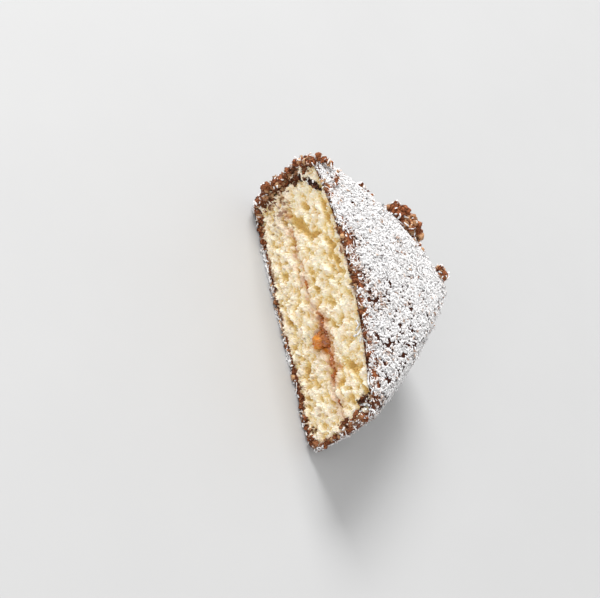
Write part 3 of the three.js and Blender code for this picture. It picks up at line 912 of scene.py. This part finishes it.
COAT_SLOPES = (-0.9, -0.5, 0.3, 0.8), (0.4, 1.15, 1.15, 1.9)  # and where the skin looks down, out or up
GAP_FINE, GAP_COARSE = 0.92, 3.4  # sizes of the small gaps between flakes
GAP_LEVELS = (-30, 0, 30), (-0.33, -0.29, -0.15)  # how readily they open at those x


def skin_triangles():
    """The icing's outer skin as corner points, on the cake's axes, with outward normals and areas."""
    mesh = icing.data
    mesh.calc_loop_triangles()
    corners = np.array([[*triangle.vertices] for triangle in mesh.loop_triangles])
    on_skin = np.array([point.value for point in mesh.attributes["skin"].data])
    corners = corners[on_skin[corners].min(1) > 0.5]
    places = np.array([[*vertex.co] for vertex in mesh.vertices]) / MM - np.array(CUT_MIDDLE)
    points = places[corners]
    normals = np.cross(points[:, 1] - points[:, 0], points[:, 2] - points[:, 0])
    areas = np.linalg.norm(normals, axis=1)
    keep = areas > 1e-6
    return points[keep], normals[keep] / areas[keep, None], areas[keep] / 2


SKIN = skin_triangles()


def share_gone(at):
    """Share of the coconut that is rubbed off at each point."""
    gone = np.zeros(len(at))
    for x, y, z, radius, share in BARE:
        away = np.linalg.norm(at - (x, y, z), axis=1) / radius
        gone = np.maximum(gone, share * np.clip(1.6 - 1.3 * away, 0, 1))
    return gone


def in_gap(at):
    """Whether each point is in one of the small gaps, which gather in patches."""
    mottle = [
        0.8 * noise.noise(Vector(point) / GAP_FINE) + 0.5 * noise.noise(Vector(point) / GAP_COARSE)
        for point in at
    ]
    return np.array(mottle) < np.interp(at[:, 0], *GAP_LEVELS)


def spread(seed, count, in_gaps):
    """Random places on the skin, with the normals there: most on top and towards -X."""
    draw = np.random.default_rng(PLACES_SEED + seed)
    points, normals, areas = SKIN
    weight = areas * np.interp(normals[:, 2], *COAT_SLOPES)
    weight *= np.interp(points[:, 0, 0], *COAT_SIDES)
    chosen = draw.choice(len(areas), count, p=weight / weight.sum())
    weights = draw.dirichlet((1, 1, 1), count)
    at = (points[chosen] * weights[:, :, None]).sum(1)
    kept = draw.random(count) > share_gone(at)
    if not in_gaps:
        kept &= ~in_gap(at)
    return at[kept], normals[chosen][kept]


def strip_template(cuts):
    """A flat strip one unit long, wide and thick, cut across so that it can bend."""
    shape = bmesh.new()
    bmesh.ops.create_cube(shape, size=1)
    long_edges = [edge for edge in shape.edges if abs(edge.verts[0].co.x - edge.verts[1].co.x) > 0.5]
    bmesh.ops.subdivide_edges(shape, edges=long_edges, cuts=cuts)
    return shape


def coconut_material():
    """White, slightly see-through flesh, a little creamier in some flakes and brown where icing got on."""
    material, tree, shader = new_material("coconut")
    fine, _ = grain(tree, 0.5, 3)
    flesh = colour_ramp(
        tree,
        carried(tree, "tone"),
        (0.0, (0.20, 0.09, 0.055)),
        (0.15, (0.55, 0.39, 0.30)),
        (0.3, (0.93, 0.895, 0.885)),
        (1.0, (0.99, 0.985, 0.985)),
    )
    shaded = mixed(tree, fine, flesh, (0.95, 0.93, 0.92, 1), "MULTIPLY")
    finish = {
        "Base Color": mixed(tree, 0.25, flesh, shaded),
        "Roughness": 0.5,
        "Specular IOR Level": 0.4,
        "Subsurface Weight": 0.5,
        "Subsurface Radius": (1.0, 0.95, 0.92),
        "Subsurface Scale": 0.6 * MM,
    }
    fill_inputs(tree, shader, finish)
    return material


COCONUT = coconut_material()


def flakes(name, seed, places, cuts, length, width, thick, layers, tilt, tones):
    """One kind of flake at those places: flat on the base, in layers elsewhere, browner by bare places."""
    draw = np.random.default_rng(COCONUT_SEED + seed)
    at, normal = places
    number = len(at)
    under = normal[:, 2] < -0.7
    level = draw.random(number) * layers * (1 - 0.8 * under)
    axes = turned_frames(draw, normal, tilt * (0.4 + draw.random(number)) * (1 - under))
    sizes = np.stack([draw.uniform(*limits, number) for limits in (length, width, thick)], 1)
    curl = draw.normal(size=(number, 2)) * (0.07, 0.06) * (1 - under)[:, None]
    iced = np.clip(ICED_NEAR_BARE * share_gone(at), 0, 1) * draw.random(number) ** 1.5
    tone = {"tone": draw.uniform(*tones, number) * (1 - iced)}
    at = at + normal * level[:, None]
    shape = strip_template(cuts)
    joined("coconut_" + name, shape, at, axes, sizes, COCONUT, tone, curl, FLAKE_RAGGED)


def cut_edge(count):
    """Places just over the edge of the cut, where flakes were dragged across it by the knife."""
    draw = np.random.default_rng(EDGE_SEED)
    half = half_contour()
    at = []
    for _ in range(count):
        share, height = half[draw.integers(len(half))]
        side = draw.choice((-1, 1))
        point = skin_point(side, share, height, 0, abs(draw.normal()) * 0.7)
        at.append((point.x, knife_wander(point.x, point.z) - draw.uniform(0.1, 0.7), point.z))
    at = np.array(at)
    kept = draw.random(count) > share_gone(at)
    return at[kept], towards_knife(kept.sum())


for seed, (name, count, in_gaps, *kind) in enumerate(KINDS, 1):
    flakes(name, seed, spread(seed, count, in_gaps), *kind)
flakes("edge", len(KINDS) + 1, cut_edge(AT_EDGE[0]), *AT_EDGE[1])


def laid_flakes():
    """The few long flakes that the knife left lying across the cut."""
    count = len(LAID)
    at = np.array([(x, knife_wander(x, z) - LAID_OUT, z) for x, z, *_ in LAID])
    turns = [math.radians(turn) for _, _, turn, _, _ in LAID]
    along = unit(np.array([(math.cos(turn), -LAID_LEAN, math.sin(turn)) for turn in turns]))
    across = np.cross(towards_knife(count), along)
    axes = np.stack([along, unit(across), np.cross(along, across)], 1)
    sizes = np.array([(length, width, LAID_THICKNESS) for _, _, _, length, width in LAID])
    tone = {"tone": np.full(count, LAID_TONE)}
    curl = np.random.default_rng(LAID_SEED).normal(size=(count, 2)) * 0.09
    shape = strip_template(8)
    joined("coconut_laid", shape, at, axes, sizes, COCONUT, tone, curl, LAID_RAGGED)


laid_flakes()

# ---- The clumps ----
# Crumbs that came off the sponge in the icing and set hard in knobbly lumps, with flakes stuck to them.
# The largest sits high on the side towards -X; others are at the corners and lower down.
CLUMPS_SEED, FINE_LUMP = 71, 1.35  # lumps of a larger radius than this get more faces
CLUMPS = [  # middle, half extent along it, how far its lumps stray, radius of a lump, how dark, how many
    ((-23.6, 33.8, 37.6), (4.8, 4.8, 0.3), 2.9, 1.9, 0, 64),
    ((-21.4, 32.2, 36.8), (4.6, 4.6, 0.0), 1.4, 1.5, 0.3, 24),
    ((-15.0, 34.8, 37.4), (3.4, 3.4, 0.0), 0.9, 1.0, 0, 20),
    ((-33.0, 19.0, 38.4), (2.2, 2.2, 0.0), 0.5, 0.8, 0, 8),
    ((-44.6, -0.2, 33.0), (2.4, 0.0, 5.0), 1.1, 1.4, 0, 36),
    ((-41.6, 1.4, 40.2), (2.2, 2.0, 0.6), 0.8, 1.0, 0, 18),
    ((-34.2, 3.4, 41.6), (3.2, -1.6, 0.2), 0.5, 0.8, 0, 14),
    ((-37.6, 0.1, 32.4), (3.8, 0.0, 3.2), 0.5, 0.9, 1.0, 9),
    ((-45.6, -0.4, 17.0), (0.8, 0.0, 6.5), 1.6, 1.6, 0.1, 26),
    ((-44.0, -0.3, 7.5), (0.8, 0.0, 3.0), 1.5, 1.4, 0.1, 13),
    ((-41.0, -0.2, 2.6), (3.4, 0.0, 0.4), 0.8, 1.1, 0.1, 10),
    ((-12.0, 0.4, 40.2), (3.6, 0.0, 0.0), 1.0, 1.1, 0.1, 16),
    ((3.0, 0.5, 41.4), (3.4, 0.0, 0.0), 0.8, 0.9, 0.1, 12),
    ((-3.8, 43.8, 37.8), (1.5, 1.5, -0.8), 1.3, 1.5, 0, 26),
    ((46.0, -0.3, 29.3), (0.9, 0.0, 2.8), 1.1, 1.6, 0.1, 17),
    ((42.2, -0.1, 33.6), (1.2, 0.0, 2.8), 0.6, 1.1, 0.8, 10),
    ((46.2, -0.2, 21.0), (0.4, 0.0, 3.4), 0.8, 1.0, 0.1, 9),
    ((44.2, -0.2, 3.4), (3.2, 0.0, 0.6), 0.8, 1.0, 0.1, 10),
    ((31.6, 18.2, 12.0), (2.4, -2.4, 0.7), 0.6, 1.2, 0, 9),
    ((15.4, 34.4, 26.0), (2.0, -2.0, 0.7), 0.6, 1.2, 0, 9),
]


def icing_clumps():
    """Every clump as rough lumps that grow into each other, with painted shade darkening their hollows, and
    its flakes.
    """
    draw = np.random.default_rng(CLUMPS_SEED)
    shape = bmesh.new()
    dark_layer, pale_layer = point_layers(shape, "dark", "pale")
    flakes_at, flakes_normal = [], []
    for middle, extent, stray, largest, shade, count in CLUMPS:
        for _ in range(count):
            away = Vector(draw.normal(size=3)).normalized() * stray * draw.random() ** 0.5
            place = Vector(middle) + Vector(extent) * draw.uniform(-1, 1) + away
            radius = largest * draw.uniform(0.35, 1)
            crumbed = max(draw.uniform(-1.1, 0.8), 0) * (shade < 0.7)
            levels = 4 if radius > FINE_LUMP else 3
            made = bmesh.ops.create_icosphere(shape, subdivisions=levels, radius=radius)
            for vertex in made["verts"]:
                near = vertex.co * (1 + 0.35 * noise.noise(vertex.co / (0.9 * radius) + place))
                rough = 0.42 * radius**0.5 * noise.fractal((near + place) / (0.8 * radius), 0.7, 2.1, 3)
                vertex.co = place + near + near.normalized() * rough
                vertex.co.z = max(vertex.co.z, 0.1)
                # Painted shade: each lump is made darker where its surface dips into a hollow.
                vertex[dark_layer] = max(0.8 * smoothstep(-rough, 0.0, 0.3), shade)
                vertex[pale_layer] = crumbed
            flakes_at.append(place + away.normalized() * radius)
            flakes_normal.append(away.normalized())
    new_piece("icing_clumps", shape, ICING_FINISH, "coconut_coat")
    flakes("on_clumps", len(KINDS) + 2, (np.array(flakes_at), np.array(flakes_normal)), *ON_CLUMPS)


icing_clumps()

# ---- The floor, the light and the camera ----
# A plain pale tabletop under soft studio light that comes from high on the -X side, with a broad fill
# that keeps the cut bright. The camera looks down on the cut and the top together, and leans over.
EYE = Vector((185.5, -308.5, 364.9))
LOOK = Vector((-0.3737, 0.6115, -0.6974))
VIEW_UP = Vector((-0.9009, -0.0605, 0.4297))
VIEW_RIGHT = Vector((0.2206, 0.7889, 0.5735))
LIT, LIGHT_DISTANCE = (0, 15, 20), 2.2  # the point that the lights face, and how many metres off they are
SKY = 0.78  # strength of the white light from all round


def tabletop():
    """The floor, a plain sheet much larger than the cake."""
    shape = bmesh.new()
    bmesh.ops.create_grid(shape, x_segments=1, y_segments=1, size=3)
    mesh = bpy.data.meshes.new("tabletop")
    shape.to_mesh(mesh)
    shape.free()
    material, tree, shader = new_material("pale_tabletop")
    _, coarse = grain(tree, 6, 60)
    greyed = grey_ramp(tree, coarse, (0.3, 0.46), (0.7, 0.47))
    fill_inputs(tree, shader, {"Base Color": greyed, "Roughness": 0.6})
    mesh.materials.append(material)
    floor = in_scene("tabletop", mesh)


def soft_light(name, direction, size, watts):
    """A square soft light in that direction from the cake, facing it."""
    data = bpy.data.lights.new(name, "AREA")
    data.size = size
    data.energy = watts
    lamp = in_scene(name, data)
    lamp.location = in_frame(*LIT) + direction.normalized() * LIGHT_DISTANCE
    lamp.rotation_mode = "QUATERNION"
    lamp.rotation_quaternion = (-direction).to_track_quat("-Z", "Y")


def camera():
    """A long lens, which leans to its right as it looks down."""
    data = bpy.data.cameras.new("camera")
    data.lens = 90
    data.sensor_width = 36
    data.clip_start = 0.01
    eye = in_scene("camera", data)
    turn = Matrix((VIEW_RIGHT, VIEW_UP, -LOOK)).transposed()
    eye.matrix_world = Matrix.Translation(in_frame(*EYE)) @ turn.to_4x4()
    bpy.context.scene.camera = eye


tabletop()
soft_light("key", Vector((-0.73, -0.05, 0.68)), size=0.9, watts=56)
soft_light("fill", Vector((0.15, -0.90, 0.42)), size=2.2, watts=16.5)
world = bpy.data.worlds.new("studio")
world.use_nodes = True
white_sky = {"Color": (1, 1, 1, 1), "Strength": SKY}
fill_inputs(world.node_tree, world.node_tree.nodes["Background"], white_sky)
bpy.context.scene.world = world
bpy.context.scene.view_settings.view_transform = "Standard"
camera()
